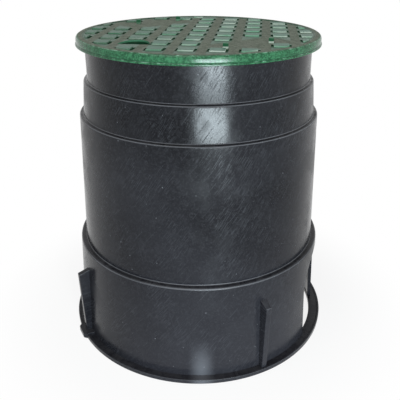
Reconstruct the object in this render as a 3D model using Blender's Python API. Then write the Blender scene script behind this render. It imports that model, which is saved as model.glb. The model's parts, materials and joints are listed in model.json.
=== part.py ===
"""Round inspection box: a stepped, tapered body that is open at both ends, and a lift-off lid.

Units are metres, +Z is up, and the origin is on the ground at the box's centre line. The pipe
slots look along X. The body and the lid are two mouldings, and the lid only rests on the body.
"""

import math

import bmesh
import bpy
from mathutils import Matrix, Vector

# How finely round things are faceted
SEGMENTS = 96
HUB_SEGMENTS = 32
DIMPLE_SEGMENTS = 24
CORNER_STEPS = 3
ARCH_STEPS = 16
SHARP_ANGLE = 30            # degrees above which an edge stays sharp

# Modelling allowances
CUT_MARGIN = 0.0100         # how far a cutter runs past what it cuts
FUSE = 0.0005               # how far a fused sub-part is sunk into what carries it
MERGE_DISTANCE = 0.000001

# Clearances
SEAT_GAP = 0.0003           # lid plate above the collar's edge
SPIGOT_CLEARANCE = 0.0007   # lid's locating ring inside the collar

# Body: height above the ground, and the share of it that each tier takes
BOX_HEIGHT = 0.2247
COLLAR_SHARE = 0.1175
NECK_SHARE = 0.1059
SKIRT_SHARE = 0.3373
WALL = 0.0026

# Body: outside radius at the top, then how far each ledge steps out and each wall leans out
COLLAR_RADIUS_TOP = 0.0798
COLLAR_DRAFT = 0.0004
NECK_STEP = 0.0025
NECK_DRAFT = 0.0020
DRUM_STEP = 0.0027
DRUM_DRAFT = 0.0038
SKIRT_STEP = 0.0041
SKIRT_DRAFT = 0.0036
SHOULDER_ROUND = 0.0018     # rounding where a tier's ledge turns down

# Body: the flange that it stands on
FLANGE_REACH = 0.0057       # how far it stands out from the foot of the skirt
FLANGE_THICKNESS = 0.0027
FLANGE_BEAD = 0.0005
FLANGE_BEAD_WIDTH = 0.0014
FLANGE_LEDGE = 0.0004       # how far the foot ring stands in under the wall's inner face

# Body: arched pipe slots, one at each end of the X axis
SLOT_WIDTH = 0.055
SLOT_BRIDGE = 0.0068        # wall left between the arch and the skirt's ledge

# Body: gusset ribs between the skirt and the flange
RIB_ANGLES = (45, 135, 225, 315)
RIB_THICKNESS = 0.0044
RIB_BELOW_LEDGE = 0.0158
RIB_TOP_SLOPE = 0.0032
RIB_SETBACK_TOP = 0.0004    # from the flange's edge
RIB_SETBACK_BOTTOM = 0.0018

# Body: a small tab at the foot of two of the ribs
TAB_ANGLES = (45, 225)
TAB_WIDTH = 0.0150
TAB_REACH = 0.0022
TAB_THICKNESS = 0.0046
TAB_LIFT = 0.0005           # the tab's underside stays this far off the ground

# Lid: plate and overhanging rim
LID_OVERHANG = 0.0057       # lid's radius beyond the collar's top edge
LID_PLATE = 0.0029
LID_LIP_ROUND = 0.0021
LID_RIM_DEPTH = 0.0076
LID_RIM_WALL = 0.0030
LID_BEAD = 0.0005
LID_BEAD_HEIGHT = 0.0012
LID_TURN = 10.5             # degrees that the lid is turned on the body

# Lid: the sunken tread field inside a plain border
BORDER_WIDTH = 0.0050
FIELD_SINK = 0.0006
PAD_PITCH = 0.0190
PAD_SIZE = 0.0096
PAD_HEIGHT = 0.0013
PAD_CHAMFER = 0.0005
PAD_MARGIN = 0.0012         # bare floor between the outermost pads and the border
PAD_LEAST = 0.0030          # a clipped pad narrower than this is left out
PIT_WIDTH = 0.0013
PIT_DEPTH = 0.0008
COLUMNS = 4
ROWS = 4

# Lid: places where the tread stops, in the lid's own turned frame, as shares of the field's radius
FINGER_SHARE_X = -0.4447
FINGER_SHARE_Y = -0.6335
FINGER_WIDTH = 0.0206
FINGER_LENGTH = 0.0160
FINGER_WALL = 0.0020
FINGER_WALL_DEPTH = 0.0055
PANEL_ANGLE = -48
PANEL_SHARE = 0.7081
PANEL_LENGTH = 0.0420
PANEL_WIDTH = 0.0130
LUG_ANGLE = -52
LUG_SHARE = 0.7453
LUG_SPACING = 0.0350
LUG_SIZE = 0.0034
LUG_HEIGHT = 0.0032
DIMPLE_RADIUS = 0.0030
DIMPLE_DEPTH = 0.0010
MARKER_WIDTH = 0.0075
MARKER_LENGTH = 0.0034
MARKER_SETBACK = 0.0050
MARKER_ANGLE = 96.5

# Lid: underside
SPIGOT_DEPTH = 0.0100
SPIGOT_WALL = 0.0020
STIFFENERS = 6
STIFFENER_TURN = 21
STIFFENER_WALL = 0.0018
STIFFENER_DEPTH = 0.0060
HUB_RADIUS = 0.0140
HUB_WALL = 0.0020
HUB_DEPTH = 0.0066

# Finishes, as linear colour and roughness
BODY_COLOUR = (0.020, 0.021, 0.024)
BODY_ROUGHNESS = 0.42
LID_COLOUR = (0.045, 0.230, 0.110)
LID_ROUGHNESS = 0.45

# Sizes that follow
NECK_TOP = BOX_HEIGHT * (1 - COLLAR_SHARE)
DRUM_TOP = NECK_TOP - BOX_HEIGHT * NECK_SHARE
SKIRT_TOP = BOX_HEIGHT * SKIRT_SHARE
COLLAR_RADIUS_BOTTOM = COLLAR_RADIUS_TOP + COLLAR_DRAFT
NECK_RADIUS_TOP = COLLAR_RADIUS_BOTTOM + NECK_STEP
NECK_RADIUS_BOTTOM = NECK_RADIUS_TOP + NECK_DRAFT
DRUM_RADIUS_TOP = NECK_RADIUS_BOTTOM + DRUM_STEP
DRUM_RADIUS_BOTTOM = DRUM_RADIUS_TOP + DRUM_DRAFT
SKIRT_RADIUS_TOP = DRUM_RADIUS_BOTTOM + SKIRT_STEP
SKIRT_RADIUS_BOTTOM = SKIRT_RADIUS_TOP + SKIRT_DRAFT
FLANGE_RADIUS = SKIRT_RADIUS_BOTTOM + FLANGE_REACH
SLOT_HEIGHT = SKIRT_TOP - SLOT_BRIDGE
RIB_HEIGHT = SKIRT_TOP - RIB_BELOW_LEDGE
RIB_REACH_TOP = FLANGE_RADIUS - RIB_SETBACK_TOP
RIB_REACH_BOTTOM = FLANGE_RADIUS - RIB_SETBACK_BOTTOM
LID_RADIUS = COLLAR_RADIUS_TOP + LID_OVERHANG
FIELD_RADIUS = LID_RADIUS - BORDER_WIDTH
FINGER_X = FINGER_SHARE_X * FIELD_RADIUS
FINGER_Y = FINGER_SHARE_Y * FIELD_RADIUS
PANEL_RADIUS = PANEL_SHARE * FIELD_RADIUS
LUG_RADIUS = LUG_SHARE * FIELD_RADIUS
MARKER_RADIUS = FIELD_RADIUS - MARKER_SETBACK
LID_UNDERSIDE = BOX_HEIGHT + SEAT_GAP
FIELD_LEVEL = LID_UNDERSIDE + LID_PLATE
BORDER_LEVEL = FIELD_LEVEL + FIELD_SINK
SPIGOT_RADIUS = COLLAR_RADIUS_TOP - WALL - SPIGOT_CLEARANCE


def clear_scene():
    for thing in list(bpy.data.objects):
        bpy.data.objects.remove(thing, do_unlink=True)


def material(name, colour, roughness):
    made = bpy.data.materials.new(name)
    made.use_nodes = True
    shader = made.node_tree.nodes["Principled BSDF"]
    shader.inputs["Base Color"].default_value = (*colour, 1.0)
    shader.inputs["Roughness"].default_value = roughness
    shader.inputs["Metallic"].default_value = 0.0
    return made


def new_object(name, bm):
    """Turn a bmesh into a linked object with its faces pointing out."""
    bmesh.ops.recalc_face_normals(bm, faces=bm.faces)
    mesh = bpy.data.meshes.new(name)
    bm.to_mesh(mesh)
    bm.free()
    made = bpy.data.objects.new(name, mesh)
    bpy.context.collection.objects.link(made)
    return made


def revolve(name, profile, segments=SEGMENTS, ring=True):
    """Spin (radius, height) points once round the Z axis.

    A ring's outline is closed on itself. Other outlines start and end on the axis.
    """
    bm = bmesh.new()
    verts = [bm.verts.new((radius, 0.0, height)) for radius, height in profile]
    first = 0 if ring else 1
    edges = [bm.edges.new((verts[i - 1], verts[i])) for i in range(first, len(verts))]
    bmesh.ops.spin(bm, geom=verts + edges, axis=(0, 0, 1), cent=(0, 0, 0),
                   angle=math.tau, steps=segments, use_merge=True)
    bmesh.ops.remove_doubles(bm, verts=bm.verts, dist=MERGE_DISTANCE)
    return new_object(name, bm)


def prism(name, outline, low, high):
    """Extrude a closed XY outline from one height to another."""
    bm = bmesh.new()
    face = bm.faces.new([bm.verts.new((x, y, low)) for x, y in outline])
    pushed = bmesh.ops.extrude_face_region(bm, geom=[face])
    tops = [item for item in pushed["geom"] if isinstance(item, bmesh.types.BMVert)]
    bmesh.ops.translate(bm, verts=tops, vec=(0, 0, high - low))
    return new_object(name, bm)


def triangulate(thing):
    """Split every face in triangles, so that each one is exactly flat for the Booleans."""
    bm = bmesh.new()
    bm.from_mesh(thing.data)
    bmesh.ops.triangulate(bm, faces=bm.faces)
    bm.to_mesh(thing.data)
    bm.free()


def combine(target, tool, operation):
    """Apply one exact Boolean to an object and delete the tool."""
    triangulate(target)
    triangulate(tool)
    boolean = target.modifiers.new(operation, "BOOLEAN")
    boolean.operation = operation
    boolean.solver = "EXACT"
    boolean.object = tool
    graph = bpy.context.evaluated_depsgraph_get()
    result = bpy.data.meshes.new_from_object(target.evaluated_get(graph))
    target.modifiers.clear()
    target.data = result
    bpy.data.objects.remove(tool, do_unlink=True)


def join(name, pieces):
    """Gather several closed shapes in one object."""
    bm = bmesh.new()
    for piece in pieces:
        piece.data.transform(piece.matrix_basis)
        bm.from_mesh(piece.data)
        bpy.data.objects.remove(piece, do_unlink=True)
    return new_object(name, bm)


def turn(thing, degrees):
    thing.data.transform(Matrix.Rotation(math.radians(degrees), 4, "Z"))


def rounded_ledge(outer, level):
    """The corner where a ledge at this level turns down at this radius."""
    points = []
    for step in range(CORNER_STEPS + 1):
        angle = math.radians(90 - 90 * step / CORNER_STEPS)
        points.append((outer - SHOULDER_ROUND + SHOULDER_ROUND * math.cos(angle),
                       level - SHOULDER_ROUND + SHOULDER_ROUND * math.sin(angle)))
    return points


def tier_profile(inset):
    """The body's stepped side from top to bottom, moved inward and down by an inset."""
    tiers = (
        (NECK_TOP, COLLAR_RADIUS_BOTTOM, NECK_RADIUS_TOP),
        (DRUM_TOP, NECK_RADIUS_BOTTOM, DRUM_RADIUS_TOP),
        (SKIRT_TOP, DRUM_RADIUS_BOTTOM, SKIRT_RADIUS_TOP),
    )
    points = [(COLLAR_RADIUS_TOP - inset, BOX_HEIGHT)]
    for level, above, below in tiers:
        points.append((above - inset, level - inset))
        points.extend(rounded_ledge(below - inset, level - inset))
    points.append((SKIRT_RADIUS_BOTTOM - inset, FLANGE_THICKNESS / 2))
    return points


def body_wall():
    """The stepped wall, which ends inside the thickness of the foot ring."""
    outside = tier_profile(0.0)
    inside = tier_profile(WALL)
    return revolve("box_body", outside + inside[::-1])


def slot_outline():
    """An arched opening as (across, height) points, run down past the ground."""
    half = SLOT_WIDTH / 2
    spring = SLOT_HEIGHT - half
    points = [(half, -CUT_MARGIN), (half, spring)]
    for step in range(1, ARCH_STEPS):
        angle = math.pi * step / ARCH_STEPS
        points.append((half * math.cos(angle), spring + half * math.sin(angle)))
    points += [(-half, spring), (-half, -CUT_MARGIN)]
    return points


def slot_cutter():
    """One arched bar through both walls."""
    reach = FLANGE_RADIUS + CUT_MARGIN
    cutter = prism("slot_cutter", slot_outline(), -reach, reach)
    to_x_axis = Matrix(((0, 0, 1, 0), (1, 0, 0, 0), (0, 1, 0, 0), (0, 0, 0, 1)))
    cutter.data.transform(to_x_axis)
    return cutter


def flange():
    """The flat foot ring under the wall, with a bead along its outer edge."""
    inner = SKIRT_RADIUS_BOTTOM - WALL - FLANGE_LEDGE
    crown = FLANGE_THICKNESS + FLANGE_BEAD
    return revolve("flange", [
        (inner, 0.0),
        (FLANGE_RADIUS, 0.0),
        (FLANGE_RADIUS, FLANGE_THICKNESS),
        (FLANGE_RADIUS - FLANGE_BEAD, crown),
        (FLANGE_RADIUS - FLANGE_BEAD_WIDTH, crown),
        (FLANGE_RADIUS - FLANGE_BEAD_WIDTH - FLANGE_BEAD, FLANGE_THICKNESS),
        (inner, FLANGE_THICKNESS),
    ])


def skirt_radius(height):
    """Outside radius of the skirt at a height."""
    share = height / SKIRT_TOP
    return SKIRT_RADIUS_BOTTOM + (SKIRT_RADIUS_TOP - SKIRT_RADIUS_BOTTOM) * share


def rib(angle):
    """A gusset that fills the corner between the skirt and the flange."""
    buried = FLANGE_THICKNESS / 2
    outline = [
        (skirt_radius(buried) - WALL / 2, buried),
        (RIB_REACH_BOTTOM, buried),
        (RIB_REACH_TOP, RIB_HEIGHT - RIB_TOP_SLOPE),
        (skirt_radius(RIB_HEIGHT) - WALL / 2, RIB_HEIGHT),
    ]
    made = prism("rib", outline, -RIB_THICKNESS / 2, RIB_THICKNESS / 2)
    made.data.transform(Matrix.Rotation(math.radians(90), 4, "X"))
    turn(made, angle)
    return made


def foot_tab(angle):
    """A thicker tab on the flange at a rib's foot, a little proud of its edge."""
    near = SKIRT_RADIUS_BOTTOM - WALL / 2
    far = FLANGE_RADIUS + TAB_REACH
    half = TAB_WIDTH / 2
    chamfer = TAB_REACH
    outline = [(near, -half), (FLANGE_RADIUS, -half), (far, -half + chamfer),
               (far, half - chamfer), (FLANGE_RADIUS, half), (near, half)]
    made = prism("foot_tab", outline, TAB_LIFT, TAB_THICKNESS)
    turn(made, angle)
    return made


def build_body():
    body = body_wall()
    combine(body, slot_cutter(), "DIFFERENCE")
    combine(body, flange(), "UNION")
    for angle in TAB_ANGLES:
        combine(body, foot_tab(angle), "UNION")
    for angle in RIB_ANGLES:
        combine(body, rib(angle), "UNION")
    body.data.materials.clear()
    body.data.materials.append(material("black_polyolefin", BODY_COLOUR, BODY_ROUGHNESS))
    return body


def lid_shell():
    """The lid's plate, border, rounded lip, overhanging rim and locating ring."""
    lip_centre = (LID_RADIUS - LID_LIP_ROUND, BORDER_LEVEL - LID_LIP_ROUND)
    rim_foot = BORDER_LEVEL - LID_RIM_DEPTH
    outline = [(0.0, FIELD_LEVEL), (FIELD_RADIUS, FIELD_LEVEL),
               (FIELD_RADIUS + FIELD_SINK, BORDER_LEVEL)]
    for step in range(CORNER_STEPS + 2):
        angle = math.radians(90 - 90 * step / (CORNER_STEPS + 1))
        outline.append((lip_centre[0] + LID_LIP_ROUND * math.cos(angle),
                        lip_centre[1] + LID_LIP_ROUND * math.sin(angle)))
    outline += [
        (LID_RADIUS, rim_foot + LID_BEAD_HEIGHT + LID_BEAD),
        (LID_RADIUS + LID_BEAD, rim_foot + LID_BEAD_HEIGHT),
        (LID_RADIUS + LID_BEAD, rim_foot),
        (LID_RADIUS - LID_RIM_WALL, rim_foot),
        (LID_RADIUS - LID_RIM_WALL, LID_UNDERSIDE),
        (SPIGOT_RADIUS, LID_UNDERSIDE),
        (SPIGOT_RADIUS, LID_UNDERSIDE - SPIGOT_DEPTH),
        (SPIGOT_RADIUS - SPIGOT_WALL, LID_UNDERSIDE - SPIGOT_DEPTH),
        (SPIGOT_RADIUS - SPIGOT_WALL, LID_UNDERSIDE),
        (0.0, LID_UNDERSIDE),
    ]
    return revolve("lid", outline, ring=False)


def finger_outline(grow=0.0):
    """Half an ellipse with its flat side towards the rim, grown outward by an amount."""
    half = FINGER_WIDTH / 2 + grow
    length = FINGER_LENGTH + grow
    points = []
    for step in range(ARCH_STEPS + 1):
        angle = math.pi * step / ARCH_STEPS
        points.append((FINGER_X + half * math.cos(angle),
                       FINGER_Y + length * math.sin(angle)))
    if grow:
        points += [(FINGER_X - half, FINGER_Y - grow), (FINGER_X + half, FINGER_Y - grow)]
    return points


def direction(degrees):
    """The level unit vector at an angle from the X axis."""
    angle = math.radians(degrees)
    return Vector((math.cos(angle), math.sin(angle)))


def square_to(flat):
    """A level vector turned a quarter turn to its left."""
    return Vector((-flat.y, flat.x))


def on_panel(x, y):
    """Whether a pad centred here would stand on one of the two bare panels."""
    for angle in (PANEL_ANGLE, PANEL_ANGLE + 180):
        outward = direction(angle)
        offset = Vector((x, y)) - outward * PANEL_RADIUS
        if (abs(offset.dot(square_to(outward))) < (PANEL_LENGTH + PAD_SIZE) / 2
                and abs(offset.dot(outward)) < (PANEL_WIDTH + PAD_SIZE) / 2):
            return True
    return False


def on_finger_slot(x, y):
    """Whether a pad centred here would stand over the finger slot."""
    half = PAD_SIZE / 2
    return (abs(x - FINGER_X) < FINGER_WIDTH / 2 + half
            and FINGER_Y - half < y < FINGER_Y + FINGER_LENGTH + half)


def pad_places():
    """Centres of the tread pads: rows and columns that skip the panels and the slot."""
    clip = FIELD_RADIUS - PAD_MARGIN
    places = []
    for column in range(-COLUMNS, COLUMNS + 1):
        for row in range(-ROWS, ROWS):
            x = column * PAD_PITCH
            y = (row + 0.5) * PAD_PITCH
            near_x = max(abs(x) - PAD_SIZE / 2, 0.0)
            near_y = max(abs(y) - PAD_SIZE / 2, 0.0)
            if math.hypot(near_x, near_y) > clip - PAD_LEAST:
                continue
            if on_panel(x, y) or on_finger_slot(x, y):
                continue
            places.append((x, y))
    return places


def pad(x, y):
    """A square pad with chamfered top edges, let a little into the floor."""
    half = PAD_SIZE / 2
    top = FIELD_LEVEL + PAD_HEIGHT
    rings = ((half, FIELD_LEVEL - FUSE), (half, top - PAD_CHAMFER), (half - PAD_CHAMFER, top))
    corners = ((-1, -1), (1, -1), (1, 1), (-1, 1))
    bm = bmesh.new()
    loops = [[bm.verts.new((x + a * size, y + b * size, height)) for a, b in corners]
             for size, height in rings]
    bm.faces.new(loops[0][::-1])
    bm.faces.new(loops[-1])
    for lower, upper in zip(loops, loops[1:]):
        for i in range(4):
            bm.faces.new((lower[i - 1], lower[i], upper[i], upper[i - 1]))
    return new_object("pad", bm)


def pit(x, y, side):
    """The narrow pit along one side of a pad."""
    half = PAD_SIZE / 2
    near = x + side * half
    far = near + side * PIT_WIDTH
    outline = [(near, y - half), (far, y - half), (far, y + half), (near, y + half)]
    return prism("pit", outline, FIELD_LEVEL - PIT_DEPTH, FIELD_LEVEL + FUSE)


def disc(name, radius, low, high, segments=SEGMENTS):
    outline = [(radius * math.cos(math.tau * step / segments),
                radius * math.sin(math.tau * step / segments)) for step in range(segments)]
    return prism(name, outline, low, high)


def cut_pits(lid):
    """Pits beside every pad, kept inside the border."""
    pits = join("pits", [pit(x, y, side) for x, y in pad_places() for side in (-1, 1)])
    combine(pits, disc("pit_limit", FIELD_RADIUS - PAD_MARGIN, FIELD_LEVEL - CUT_MARGIN,
                       FIELD_LEVEL + CUT_MARGIN), "INTERSECT")
    combine(lid, pits, "DIFFERENCE")


def add_pads(lid):
    """Every tread pad, clipped to the round field."""
    pads = join("pads", [pad(x, y) for x, y in pad_places()])
    combine(pads, disc("pad_limit", FIELD_RADIUS - PAD_MARGIN, FIELD_LEVEL - CUT_MARGIN,
                       FIELD_LEVEL + CUT_MARGIN), "INTERSECT")
    combine(lid, pads, "UNION")


def block(name, centre, along, size_along, size_across, low, high):
    """A rectangular block whose long side runs along a direction."""
    across = square_to(along)
    outline = []
    for a, b in ((-0.5, -0.5), (0.5, -0.5), (0.5, 0.5), (-0.5, 0.5)):
        point = centre + along * (a * size_along) + across * (b * size_across)
        outline.append((point.x, point.y))
    return prism(name, outline, low, high)


def add_lugs(lid):
    """A small lug at each end of both bare panels, and a marker block near the border."""
    grid_x = direction(0)
    floor = FIELD_LEVEL - FUSE
    for angle in (LUG_ANGLE, LUG_ANGLE + 180):
        outward = direction(angle)
        for end in (-0.5, 0.5):
            place = outward * LUG_RADIUS + square_to(outward) * (end * LUG_SPACING)
            lug = block("lug", place, grid_x, LUG_SIZE, LUG_SIZE, floor,
                        FIELD_LEVEL + LUG_HEIGHT)
            combine(lid, lug, "UNION")
    marker = block("marker", direction(MARKER_ANGLE) * MARKER_RADIUS, grid_x, MARKER_WIDTH,
                   MARKER_LENGTH, floor, FIELD_LEVEL + PAD_HEIGHT)
    combine(lid, marker, "UNION")


def cut_dimple(lid):
    """The shallow round gate mark at the lid's centre."""
    cutter = disc("dimple", DIMPLE_RADIUS, FIELD_LEVEL - DIMPLE_DEPTH, FIELD_LEVEL + FUSE,
                  DIMPLE_SEGMENTS)
    combine(lid, cutter, "DIFFERENCE")


def add_underside(lid):
    """A hub ring and spokes that stiffen the plate from below."""
    top = LID_UNDERSIDE + FUSE
    hub = revolve("hub", [
        (HUB_RADIUS - HUB_WALL, LID_UNDERSIDE - HUB_DEPTH),
        (HUB_RADIUS, LID_UNDERSIDE - HUB_DEPTH),
        (HUB_RADIUS, top),
        (HUB_RADIUS - HUB_WALL, top),
    ], HUB_SEGMENTS)
    combine(lid, hub, "UNION")
    inner = HUB_RADIUS - HUB_WALL / 2
    outer = SPIGOT_RADIUS - SPIGOT_WALL / 2
    for number in range(STIFFENERS):
        along = direction(STIFFENER_TURN + 360 * number / STIFFENERS)
        spoke = block("spoke", along * (inner + outer) / 2, along, outer - inner,
                      STIFFENER_WALL, LID_UNDERSIDE - STIFFENER_DEPTH, top)
        combine(lid, spoke, "UNION")


def cut_finger_slot(lid):
    """The finger slot, with the wall that hangs round it under the plate."""
    foot = LID_UNDERSIDE - FINGER_WALL_DEPTH
    sleeve = prism("sleeve", finger_outline(FINGER_WALL), foot, LID_UNDERSIDE + FUSE)
    combine(lid, sleeve, "UNION")
    cutter = prism("finger_cutter", finger_outline(), foot - CUT_MARGIN,
                   FIELD_LEVEL + CUT_MARGIN)
    combine(lid, cutter, "DIFFERENCE")


def build_lid():
    lid = lid_shell()
    cut_pits(lid)
    add_pads(lid)
    cut_dimple(lid)
    add_lugs(lid)
    add_underside(lid)
    cut_finger_slot(lid)
    turn(lid, LID_TURN)
    lid.data.materials.clear()
    lid.data.materials.append(material("green_polyolefin", LID_COLOUR, LID_ROUGHNESS))
    return lid


def shade(thing):
    """Smooth shading that keeps the sharper edges crisp."""
    thing.data.shade_smooth()
    thing.data.set_sharp_from_angle(angle=math.radians(SHARP_ANGLE))


def main():
    clear_scene()
    for made in (build_body(), build_lid()):
        shade(made)


main()
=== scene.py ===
# %% [markdown]
# # Round inspection box
# A box like this stands in the ground round a valve or a cleanout, so that the pipe work can be
# reached from above. It is two injection mouldings: a black body that is open at both ends, and a
# green lid that drops on the body's collar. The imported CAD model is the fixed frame. This scene
# builds finer pieces in its place, dresses them in procedural plastic, and lights them.

# %% Load the fixed frame
import json
import math

import bmesh
import bpy
from mathutils import Matrix, Quaternion, Vector

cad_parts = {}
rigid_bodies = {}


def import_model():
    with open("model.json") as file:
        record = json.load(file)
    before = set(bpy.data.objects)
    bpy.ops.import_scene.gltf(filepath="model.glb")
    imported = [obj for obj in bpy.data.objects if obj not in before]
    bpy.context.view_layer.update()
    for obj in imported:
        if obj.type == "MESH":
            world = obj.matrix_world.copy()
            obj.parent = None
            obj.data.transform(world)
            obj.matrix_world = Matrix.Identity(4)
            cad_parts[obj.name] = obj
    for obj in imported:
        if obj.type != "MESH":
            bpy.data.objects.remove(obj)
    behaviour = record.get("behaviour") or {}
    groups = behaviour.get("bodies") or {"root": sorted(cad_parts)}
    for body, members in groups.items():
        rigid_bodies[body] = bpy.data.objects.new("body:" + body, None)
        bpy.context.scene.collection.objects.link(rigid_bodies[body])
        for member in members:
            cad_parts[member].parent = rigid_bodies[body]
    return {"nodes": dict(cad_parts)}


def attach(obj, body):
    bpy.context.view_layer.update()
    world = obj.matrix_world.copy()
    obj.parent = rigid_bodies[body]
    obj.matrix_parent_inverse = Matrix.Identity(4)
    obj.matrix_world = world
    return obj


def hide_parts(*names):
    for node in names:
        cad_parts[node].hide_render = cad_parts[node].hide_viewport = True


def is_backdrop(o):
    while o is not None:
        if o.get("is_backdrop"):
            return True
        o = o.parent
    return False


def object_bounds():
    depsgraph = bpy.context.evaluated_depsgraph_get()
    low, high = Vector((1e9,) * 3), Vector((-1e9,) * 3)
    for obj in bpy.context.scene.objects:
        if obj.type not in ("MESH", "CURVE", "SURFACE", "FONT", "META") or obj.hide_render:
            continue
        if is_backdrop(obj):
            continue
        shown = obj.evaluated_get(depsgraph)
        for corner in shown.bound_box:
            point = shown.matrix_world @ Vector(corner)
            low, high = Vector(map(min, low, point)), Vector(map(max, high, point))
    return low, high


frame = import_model()
CAD_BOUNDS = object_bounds()
print("frame nodes:", sorted(frame["nodes"]))

# %% [markdown]
# ## Mesh tools
# Nearly every form here is turned: a profile spun round the centre line. A profile is written as
# its sharp corners, each with the radius of the rounding that a mould has there, and one function
# draws the arcs. That keeps a profile as short as a drawing, and every edge catches light.


# %% Profiles with rounded corners
ROUND_STEPS = 256
ARC_STEPS = 4
TANGENT_SHARE = 0.49
MERGE_DISTANCE = 0.000001
CORNERS = ((-1, -1), (1, -1), (1, 1), (-1, 1))


def softened(corners):
    """Points of an outline whose (x, y, rounding) corners are drawn as arcs."""
    points = []
    count = len(corners)
    for number, (x, y, rounding) in enumerate(corners):
        here = Vector((x, y))
        if not rounding:
            points.append(here)
            continue
        back = Vector(corners[number - 1][:2]) - here
        ahead = Vector(corners[(number + 1) % count][:2]) - here
        half = back.angle(ahead) / 2
        reach = min(rounding / math.tan(half), back.length * TANGENT_SHARE,
                    ahead.length * TANGENT_SHARE)
        centre = here + (back.normalized() + ahead.normalized()).normalized() * (
            reach / math.cos(half))
        start = here + back.normalized() * reach - centre
        end = here + ahead.normalized() * reach - centre
        sweep = start.angle(end)
        for step in range(ARC_STEPS + 1):
            share = step / ARC_STEPS
            points.append(centre + (start * math.sin((1 - share) * sweep)
                                    + end * math.sin(share * sweep)) / math.sin(sweep))
    return points


def finished(name, bm):
    """Link a bmesh as an object with its faces pointing out."""
    bmesh.ops.recalc_face_normals(bm, faces=bm.faces)
    mesh = bpy.data.meshes.new(name)
    bm.to_mesh(mesh)
    bm.free()
    made = bpy.data.objects.new(name, mesh)
    bpy.context.scene.collection.objects.link(made)
    return made


def turned(name, profile, ring=True, steps=ROUND_STEPS):
    """Spin a profile of (radius, height) points once round the Z axis."""
    bm = bmesh.new()
    verts = [bm.verts.new((point[0], 0.0, point[1])) for point in profile]
    first = 0 if ring else 1
    edges = [bm.edges.new((verts[i - 1], verts[i])) for i in range(first, len(verts))]
    bmesh.ops.spin(bm, geom=verts + edges, axis=(0, 0, 1), cent=(0, 0, 0),
                   angle=math.tau, steps=steps, use_merge=True)
    bmesh.ops.remove_doubles(bm, verts=bm.verts, dist=MERGE_DISTANCE)
    return finished(name, bm)


def pushed(name, outline, low, high):
    """Extrude a closed XY outline from one height to another."""
    bm = bmesh.new()
    face = bm.faces.new([bm.verts.new((point[0], point[1], low)) for point in outline])
    extruded = bmesh.ops.extrude_face_region(bm, geom=[face])
    tops = [item for item in extruded["geom"] if isinstance(item, bmesh.types.BMVert)]
    bmesh.ops.translate(bm, verts=tops, vec=(0, 0, high - low))
    return finished(name, bm)


def cut(target, tool):
    """Cut a tool from a target with one exact Boolean, and delete the tool."""
    boolean = target.modifiers.new("cut", "BOOLEAN")
    boolean.operation = "DIFFERENCE"
    boolean.solver = "EXACT"
    boolean.object = tool
    graph = bpy.context.evaluated_depsgraph_get()
    result = bpy.data.meshes.new_from_object(target.evaluated_get(graph))
    target.modifiers.clear()
    target.data = result
    bpy.data.objects.remove(tool, do_unlink=True)


def gathered(name, pieces):
    """Put several closed shapes in one object."""
    bm = bmesh.new()
    for piece in pieces:
        bm.from_mesh(piece.data)
        bpy.data.objects.remove(piece, do_unlink=True)
    return finished(name, bm)


def turned_about_z(thing, degrees):
    """Turn an object's mesh about the centre line."""
    thing.data.transform(Matrix.Rotation(math.radians(degrees), 4, "Z"))


def rounded_edges(thing, chosen, width, segments=2):
    """Round the edges of an object that a test picks."""
    bm = bmesh.new()
    bm.from_mesh(thing.data)
    bm.normal_update()
    edges = [edge for edge in bm.edges if chosen(edge)]
    bmesh.ops.bevel(bm, geom=edges, offset=width, offset_type="OFFSET", segments=segments,
                    profile=0.5, affect="EDGES", clamp_overlap=True)
    bm.to_mesh(thing.data)
    bm.free()


def direction(degrees):
    """The level unit vector at an angle from the X axis."""
    angle = math.radians(degrees)
    return Vector((math.cos(angle), math.sin(angle)))


def square_to(flat):
    """A level vector turned a quarter turn to its left."""
    return Vector((-flat.y, flat.x))


print("profile test:", len(softened([(0, 0, 0), (1, 0, 0.1), (1, 1, 0.1)])), "points")

# %% [markdown]
# ## The body's wall
# The wall is four tiers of one skin, 2.6 mm thick. Each tier is a little wider than the one above
# and leans inward, so that the moulding comes off its core. At each step the foot of the upper
# wall has a small fillet and the ledge turns down over a rounded shoulder. One closed profile,
# outside down and inside up, gives all of it in a single spin.

# %% Turn the wall
BOX_HEIGHT = 0.2247
WALL = 0.0026
TOP_EDGE = 0.0007
FILLET = 0.0009
SHOULDER = 0.0018
COLLAR_RADIUS = 0.0798
SKIRT_TOP = 0.0758
SKIRT_RADIUS_TOP = 0.0953
SKIRT_RADIUS_FOOT = 0.0989
TIERS = (
    # level of the ledge, radius above it, radius below it
    (0.1983, 0.0802, 0.0827),
    (0.1745, 0.0847, 0.0874),
    (SKIRT_TOP, 0.0912, SKIRT_RADIUS_TOP),
)
FLANGE_THICKNESS = 0.0027


def wall_side(inset, at_wall, at_ledge):
    """Corners of the stepped side from the top down, with the two roundings of each step."""
    corners = [(COLLAR_RADIUS - inset, BOX_HEIGHT, TOP_EDGE)]
    for level, above, below in TIERS:
        corners.append((above - inset, level - inset, at_wall))
        corners.append((below - inset, level - inset, at_ledge))
    corners.append((SKIRT_RADIUS_FOOT - inset, FLANGE_THICKNESS / 2, 0.0))
    return corners


outside = wall_side(0.0, FILLET, SHOULDER)
inside = wall_side(WALL, SHOULDER, FILLET)
wall = turned("wall", softened(outside + inside[::-1]))
print("wall:", len(wall.data.polygons), "faces")

# %% [markdown]
# ## Pipe slots
# A pipe runs through the skirt at each end of one axis, so the skirt has an arched slot there.
# Both slots are one arched bar, pushed through the box and cut away. The cut edges are then
# rounded, because a moulded edge is never a knife edge.

# %% Cut the slots
SLOT_WIDTH = 0.055
SLOT_HEIGHT = 0.0690
SLOT_STEPS = 48
SLOT_EDGE = 0.0005
SLOT_REACH = 0.120
CUT_MARGIN = 0.010
NEAR_SLOT = 0.0002
ABOVE_GROUND = 0.0001
CUT_LEAN = 0.001
WALL_LEAN = 0.5


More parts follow.
